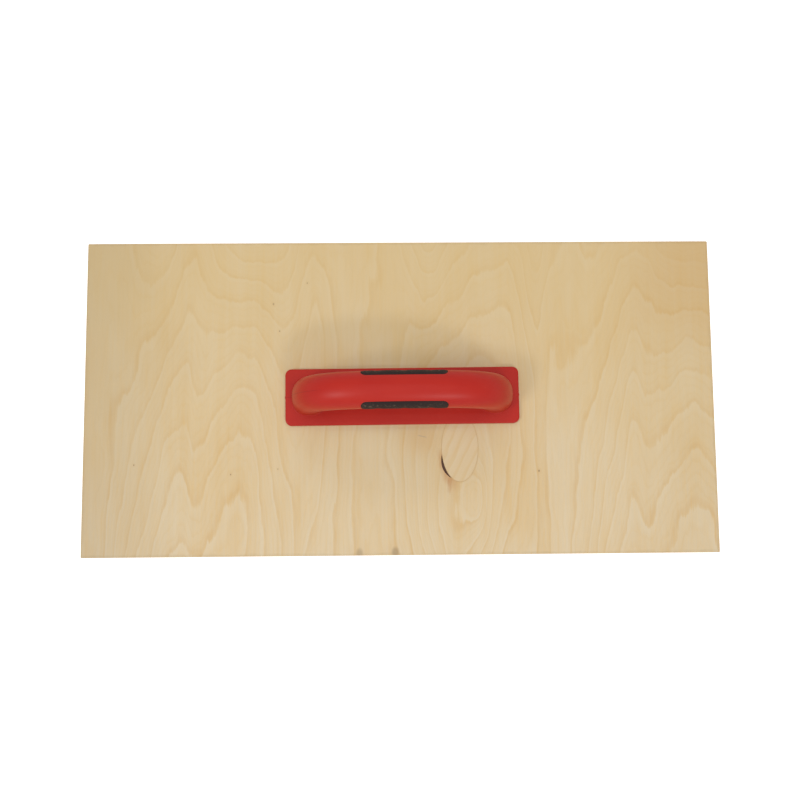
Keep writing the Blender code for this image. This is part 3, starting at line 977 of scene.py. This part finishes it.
def birch(g, x, y, seed, knots=()):
    """Colour and relief of sanded birch veneer with its grain along y."""
    field = ring_field(g, x, y, seed, knots)
    phase = field.math("FRACT")
    boldness = g.random(field.math("FLOOR") + seed * 13) * 0.55 + 0.45
    patchy = g.noise(x / 24, y / 45, seed + 21) * 0.55 + 0.65
    bold = boldness * patchy
    # Each ring darkens towards a thin line and starts again pale. Fainter lines run between.
    late = phase.step(0.50, 0.95) * phase.step(1.0, 0.94) * bold
    line = phase.step(0.78, 0.90) * phase.step(1.0, 0.92) * bold
    early = phase.step(0.25, 0.02) * bold
    minor = (field * 4.0 + g.noise(x / 14, y / 90, seed + 25) * 0.5).math("FRACT")
    thin = minor.step(0.55, 0.9) * minor.step(1.0, 0.92) * (1.1 - patchy * 0.8)
    cloud = g.noise(x / 40, y / 110, seed + 31, 2.0)
    strand = g.noise(x / 7, y / 120, seed + 37, 2.0)
    cord = g.noise(x / 2.4, y / 70, seed + 43, 2.0, 0.6)
    fibre = g.noise(x / 1.5, y / 30, seed + 41, 3.0, 0.7)
    fleck = g.noise(x / 0.9, y / 4.5, seed + 47, 2.0)
    amber = 0.25 + cloud * 0.34 + strand * 0.19 + cord * 0.18 + fibre * 0.19 + fleck * 0.09
    amber = amber + late * 0.36 + thin * 0.18 - early * 0.30
    colour = g.mix(amber, PALE, AMBER)
    colour = g.mix(line * (cord * 0.6 + 0.72) * 0.41, colour, LATEWOOD)
    colour = g.shade(colour, fibre * 0.055 + cord * 0.016 + fleck * 0.040 + 1.0)
    relief = fibre * 0.5 + fleck * 0.35 - line * 0.5
    return colour, relief


def edge_grain(g, colour, low, high, end_axis):
    """Turns the sides of a ply into sawn edges: end grain on one pair, long grain on the other."""
    x, y, z = g.place()
    face_x, face_y, face_z = g.facing()
    side = face_z.step(0.75, 0.35)
    on_x_side = (face_x - face_y).step(-0.05, 0.05)
    run = x + y
    pores = g.speckle(run / 0.22, z / 0.22, 3.0)
    end = g.mix(pores.step(0.30, 0.05) * 0.6, END_GRAIN, END_PORE)
    end = g.shade(end, g.noise(run / 6, z / 2.0, 5.0, 3.0) * 0.14 + 0.98)
    along = g.noise(run / 28, z / 0.16, 8.0, 3.0, 0.6)
    lengthwise = g.mix(along * 0.5 + 0.4, LONG_GRAIN_PALE, LONG_GRAIN_DARK)
    lengthwise = g.shade(lengthwise, g.noise(run / 1.2, z / 0.5, 11.0) * 0.06 + 1.0)
    if end_axis == "Y":
        sawn = g.mix(on_x_side, end, lengthwise)
    else:
        sawn = g.mix(on_x_side, lengthwise, end)
    to_glue = (z - low / MM).math("MINIMUM", (z * -1.0 + high / MM))
    sawn = g.mix(to_glue.step(0.12, 0.0) * 0.75, sawn, GLUE_SMEAR)
    g.bump(pores * side, 0.05, 0.5)
    return g.mix(side, colour, sawn)


def rim_wear(g, x, y, colour):
    """Handling grime and small dents along the edges of a face."""
    to_x = abs(x) * -1.0 + BOARD_SIZE.x / 2 / MM
    to_y = abs(y) * -1.0 + BOARD_SIZE.y / 2 / MM
    inward = to_x.math("MINIMUM", to_y)
    ragged = g.noise(x / 9, y / 9, 60.0, 3.0) * 1.6
    grime = (inward + ragged).step(2.6, 0.2)
    nick = g.noise(x / 3.0, y / 3.0, 63.0, 2.0).step(0.45, 0.85) * inward.step(1.6, 0.3)
    g.bump(nick * -1.0, 0.3, 0.6)
    return g.mix(grime * 0.2, colour, GRIME)


def top_veneer_material():
    g = Graph("birch_top_face")
    x, y, _ = g.place()
    colour, relief = birch(g, x, y, 2.0, PATCH_KNOTS)
    # Painted shade: the top face is mixed darker and yellower towards the back.
    back_shade = (y + g.noise(x / 120, y / 120, 71.0) * 30).step(*BACK_SHADE_SPAN)
    colour = g.mix(back_shade * 0.56, colour, PAINTED_BACK_SHADE)
    # Painted shade: darker towards the left end, a little darker towards the right end, and mixed
    # towards latewood in the back right corner.
    drift = g.noise(x / 50, y / 50, 73.0) * 14
    left_shade = (x + drift).step(*LEFT_END_SHADE)
    right_shade = (x + drift).step(*RIGHT_END_SHADE)
    corner_shade = right_shade * (y + drift).step(*BACK_CORNER_SHADE)
    colour = g.shade(colour, 1.0 - left_shade * 0.15 - right_shade * 0.03)
    colour = g.mix(corner_shade * 0.3, colour, LATEWOOD)
    warm = g.hill(x, y, *WARM_SPOT, *WARM_REACH)
    colour = g.mix(warm * 0.36, colour, LATEWOOD)
    for knot_x, knot_y, radius, darkness in PIN_KNOTS:
        away = g.length(x - knot_x, (y - knot_y) * 0.7)
        halo = away.step(radius * 3.0, radius * 0.4) * 0.35
        spot = away.step(radius, radius * 0.35)
        colour = g.mix(halo * darkness, colour, LATEWOOD)
        colour = g.mix(spot * darkness, colour, SOOT)
    colour = crescent_stain(g, x, y, colour)
    colour = g.mix(grey_scuff(x, y) * 0.35, colour, GRAPHITE)
    colour = rim_wear(g, x, y, colour)
    g.bump(relief, 0.045, 0.6)
    low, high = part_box(f"ply_{PLY_COUNT}")
    colour = edge_grain(g, colour, low.z, high.z, "Y")
    rough = g.noise(x / 5, y / 30, 81.0) * 0.05 + 0.60
    return g.finish(colour, rough, Specular_IOR_Level=FACE_GLOSS)


def crescent_stain(g, x, y, colour):
    """Resin stain that bleeds out of the open crescent and down the grain below it."""
    ragged = g.noise(x / 2.4, y / 9, 91.0, 3.0) * 1.6
    from_x, from_y = x - PATCH_CENTRE.x / MM, y - PATCH_CENTRE.y / MM
    half_x, half_y = PATCH_HALF.x / MM, PATCH_HALF.y / MM
    across, along = from_x / half_x, from_y / half_y
    outside = (g.length(across, along) - 1.0) * half_x
    turn = along.math("ARCTAN2", across)
    lower_left = turn.step(-3.25, -2.75) * turn.step(-1.55, -2.15)
    halo = (outside + ragged).step(5.5, 0.6) * lower_left
    drip_x = from_x + 8.2 + g.noise(y / 10, x / 60, 95.0) * 1.2
    drip = abs(drip_x).step(2.7, 0.1) * from_y.step(-38, -32) * from_y.step(-20, -27)
    drip = drip * (g.noise(x / 1.1, y / 9, 97.0, 2.0) * 0.5 + 0.6)
    seam = abs(outside).step(1.1, 0.1) * (g.noise(x / 9, y / 9, 99.0) * 0.4 + 0.55)
    colour = g.mix(seam * 0.5, colour, AMBER)
    colour = g.mix(halo * 0.5, colour, STAIN)
    return g.mix(drip * 0.55, colour, STAIN)


def grey_scuff(x, y):
    """A short grey scuff in front of the handle."""
    from_x, from_y = x - SCUFF_PLACE[0], y - SCUFF_PLACE[1]
    along = from_x * 0.97 - from_y * 0.24
    across = from_x * 0.24 + from_y * 0.97
    return abs(along).step(4.5, 2.0) * abs(across).step(0.7, 0.1)


def bottom_veneer_material():
    """The working face: its own figure, with faint rub marks along the board."""
    g = Graph("birch_working_face")
    x, y, _ = g.place()
    colour, relief = birch(g, x * -0.8 + 25.0, y * -1.1 + 20.0, 57.0)
    rub = g.noise(x / 90, y / 1.4, 59.0, 3.0, 0.6).step(0.35, 0.9)
    colour = g.mix(rub * 0.22, colour, RUBBED)
    colour = rim_wear(g, x, y, colour)
    g.bump(relief, 0.04, 0.5)
    low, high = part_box("ply_1")
    colour = edge_grain(g, colour, low.z, high.z, "Y")
    rough = rub * -0.08 + 0.6
    return g.finish(colour, rough, Specular_IOR_Level=FACE_GLOSS)


def core_veneer_material(number):
    """An inner ply. Even plies run along the board and odd plies across it."""
    g = Graph(f"birch_core_{number}")
    x, y, _ = g.place()
    streaks = g.noise(x / 3, y / 3, number * 5.0, 3.0)
    colour = g.mix(streaks * 0.5 + 0.5, PALE, AMBER)
    low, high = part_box(f"ply_{number}")
    colour = edge_grain(g, colour, low.z, high.z, "Y" if number % 2 else "X")
    tone = g.random(number * 3.7) * 0.12 + 0.93
    colour = g.shade(colour, tone)
    return g.finish(colour, g.noise(x / 4, y / 4, 15.0) * 0.05 + 0.7, Specular_IOR_Level=CORE_GLOSS)


def glue_material():
    g = Graph("phenolic_glue")
    x, y, z = g.place()
    blotch = g.noise(x / 6, y / 6, z / 2, 3.0)
    colour = g.mix(blotch * 0.5 + 0.5, GLUE_DARK, GLUE_BROWN)
    g.bump(blotch, 0.05, 0.4)
    return g.finish(colour, blotch * 0.1 + 0.5)


def oval_patch_material():
    """The repair patch: paler veneer whose grain leans to the right."""
    g = Graph("birch_oval_patch")
    x, y, _ = g.place()
    from_x, from_y = x - PATCH_CENTRE.x / MM, y - PATCH_CENTRE.y / MM
    across = from_x * math.cos(PATCH_LEAN) - from_y * math.sin(PATCH_LEAN)
    along = from_x * math.sin(PATCH_LEAN) + from_y * math.cos(PATCH_LEAN)
    swirl = g.noise(across / 12, along / 45, 31.0) * 4.5
    field = (across + swirl) / 7.5 + along / 130 + g.noise(across / 5, along / 22, 35.0) * 0.12
    phase = field.math("FRACT")
    late = phase.step(0.35, 0.85) * phase.step(1.0, 0.86)
    fibre = g.noise(across / 0.5, along / 22, 39.0, 3.0, 0.6)
    fleck = g.noise(across / 0.3, along / 3, 41.0)
    colour = g.mix(g.noise(across / 4, along / 40, 43.0) * 0.2 + fibre * 0.1 + 0.32, PALE, AMBER)
    colour = g.mix(late * 0.38, colour, AMBER)
    rim = g.length(from_x * MM / PATCH_HALF.x, from_y * MM / PATCH_HALF.y).step(0.955, 1.0)
    colour = g.mix(rim * 0.35, colour, LATEWOOD)
    colour = g.shade(colour, fibre * 0.02 + fleck * 0.02 + 1.01)
    g.bump(fibre * 0.5 + fleck * 0.3, 0.04, 0.6)
    return g.finish(colour, fibre * 0.03 + 0.6, Specular_IOR_Level=FACE_GLOSS)


# --- Plastics and steel ---


RED_DEEP = (0.372, 0.011, 0.006)
RED_BRIGHT = (0.420, 0.017, 0.008)
# The next colour is a painted reflection: the orange of the wood as seen on the red's steep sides.
RED_PAINTED_REFLECTION = (0.47, 0.048, 0.012)
RED_SCUFFED = (0.55, 0.09, 0.07)
RED_SEAM = (0.16, 0.006, 0.005)
RED_GLOSS = 0.28
PALE_DUST = (0.6, 0.4, 0.3)
RUBBER_DARK = (0.019, 0.011, 0.010)
RUBBER_WORN = (0.030, 0.019, 0.016)
RUBBER_BLOTCH = (0.17, 0.122, 0.08)
RUBBER_DUST = (0.25, 0.2, 0.15)
RUBBER_GLOSS = 0.22
ZINC_COOL = (0.60, 0.58, 0.52)
ZINC_WARM = (0.72, 0.66, 0.50)


def moulded_red_material():
    g = Graph("moulded_red_plastic")
    x, y, z = g.place()
    cloud = g.noise(x / 26, y / 14, z / 18, 3.0)
    scuff = g.noise(x / 30, y / 1.3, z / 1.3, 3.0, 0.6).step(0.45, 0.95)
    patchy = g.noise(x / 22, y / 22, z / 22, 2.0).step(-0.1, 0.7)
    pores = g.noise(x / 0.55, y / 0.55, z / 0.55, 2.0, 0.6)
    swell = g.noise(x / 7, y / 7, z / 7, 1.0)
    colour = g.mix(cloud * 0.5 + 0.5, RED_DEEP, RED_BRIGHT)
    # Painted reflection: steep sides are mixed towards orange, as if the wood were reflected there.
    _, _, face_z = g.facing()
    colour = g.mix(face_z.step(0.70, 0.10) * 0.45, colour, RED_PAINTED_REFLECTION)
    colour = g.mix(scuff * patchy * 0.12, colour, RED_SCUFFED)
    dust = g.speckle(x / 3.4, y / 3.4, z / 3.4).step(0.07, 0.03) * patchy
    colour = g.mix(dust * 0.25, colour, PALE_DUST)
    off_seam = abs(y - HANDLE_CENTRE.y / MM - x * HANDLE_TURN)
    seam = off_seam.step(0.4, 0.1) * x.step(-58, -66)
    colour = g.mix(seam * 0.35, colour, RED_SEAM)
    g.bump(swell, 0.06, 0.25)
    g.bump(pores, 0.02, 0.45)
    rough = cloud * 0.04 + scuff * patchy * 0.12 + 0.40
    return g.finish(colour, rough, Specular_IOR_Level=RED_GLOSS)


def soft_black_material():
    g = Graph("soft_black_rubber")
    x, y, z = g.place()
    off_side = abs(z - BAR_HEIGHT / MM - 1.5)
    worn_band = off_side.step(8.0, 2.0)
    blotch = g.noise(x / 2.2, y / 4.0, z / 1.9, 4.0, 0.65).step(0.05, 0.6)
    grain = g.noise(x / 0.35, y / 0.35, z / 0.35, 2.0)
    colour = g.mix(worn_band * 0.55, RUBBER_DARK, RUBBER_WORN)
    colour = g.mix(blotch * off_side.step(6.5, 1.5) * 0.7, colour, RUBBER_BLOTCH)
    dust = g.speckle(x / 2.2, y / 2.2, z / 2.2).step(0.12, 0.04)
    colour = g.mix(dust * worn_band * 0.5, colour, RUBBER_DUST)
    g.bump(grain, 0.04, 0.6)
    rough = blotch * 0.1 + 0.66
    return g.finish(colour, rough, Specular_IOR_Level=RUBBER_GLOSS)


def zinc_material():
    g = Graph("zinc_plated_steel")
    x, y, z = g.place()
    haze = g.noise(x / 1.2, y / 1.2, z / 1.2, 3.0)
    turned = g.noise(x / 0.2, y / 3.0, z / 0.2, 2.0)
    colour = g.mix(haze * 0.5 + 0.5, ZINC_COOL, ZINC_WARM)
    g.bump(turned, 0.02, 0.4)
    return g.finish(colour, haze * 0.07 + 0.36, Metallic=1.0)


# --- Stage ---

CAMERA_PLACE = Vector((-12.61, -87.93, 798.77)) * MM
CAMERA_TILT = (math.radians(6.146), math.radians(-0.836), math.radians(-0.498))
CAMERA_LENS = 45.0
SENSOR_WIDTH = 36.0

FLOOR_HALF_SIZE = 6.0
FLOOR_DROP = 0.2 * MM
FLOOR_ALBEDO = 0.94
FLOOR_GLOW = 0.45
SKY_STRENGTH = 0.575
LIGHT_DISTANCE = 3.0

# Soft boxes: name, direction from the handle, width and height in metres, watts, seen in reflections
LIGHTS = (
    ("left_key", (-0.80, -0.44, 1.0), (0.75, 0.5), 20.0, True),
    ("right_box", (0.44, -0.90, 1.0), (0.8, 0.3), 16.0, True),
    ("top_light", (0.02, 0.05, 1.0), (2.8, 2.2), 31.5, False),
    ("back_fill", (0.0, 1.0, 0.8), (1.8, 0.6), 9.0, False),
)


def build_camera():
    data = bpy.data.cameras.new("camera")
    data.lens = CAMERA_LENS
    data.sensor_width = SENSOR_WIDTH
    camera = bpy.data.objects.new("camera", data)
    camera.location = CAMERA_PLACE
    camera.rotation_euler = Euler(CAMERA_TILT, "XYZ")
    bpy.context.scene.collection.objects.link(camera)
    bpy.context.scene.camera = camera


def build_floor():
    shape = bmesh.new()
    bmesh.ops.create_grid(shape, x_segments=1, y_segments=1, size=FLOOR_HALF_SIZE)
    bmesh.ops.translate(shape, vec=(0, 0, -FLOOR_DROP), verts=shape.verts)
    g = Graph("pale_floor")
    x, y, _ = g.place()
    tone = g.noise(x / 400, y / 400, 3.0) * 0.004 + FLOOR_ALBEDO
    glow = {"Emission_Color": (1, 1, 1, 1), "Emission_Strength": FLOOR_GLOW}
    floor = make_object("floor", shape, g.finish(g.shade((1, 1, 1), tone), 0.8, **glow))
    floor.visible_glossy = False


def build_lights():
    world = bpy.data.worlds.new("studio")
    world.use_nodes = True
    background = world.node_tree.nodes["Background"]
    background.inputs["Color"].default_value = (1.0, 1.0, 1.0, 1.0)
    background.inputs["Strength"].default_value = SKY_STRENGTH
    bpy.context.scene.world = world
    for name, towards, size, power, mirrored in LIGHTS:
        data = bpy.data.lights.new(name, "AREA")
        data.shape = "RECTANGLE"
        data.size, data.size_y = size
        data.energy = power
        light = bpy.data.objects.new(name, data)
        light.visible_glossy = mirrored
        direction = Vector(towards).normalized()
        light.location = Vector((0, 0, BOARD_TOP)) + direction * LIGHT_DISTANCE
        light.rotation_euler = (-direction).to_track_quat("-Z", "Y").to_euler()
        bpy.context.scene.collection.objects.link(light)


def main():
    materials = {
        "top_veneer": top_veneer_material(),
        "bottom_veneer": bottom_veneer_material(),
        "oval_patch": oval_patch_material(),
        "glue": glue_material(),
    }
    for number in range(2, PLY_COUNT):
        materials[f"core_veneer_{number}"] = core_veneer_material(number)
    build_board(materials)
    build_handle(moulded_red_material())
    build_grip(soft_black_material())
    build_screws(zinc_material())
    build_floor()
    build_lights()
    build_camera()
    bpy.context.scene.view_settings.view_transform = "Standard"


main()
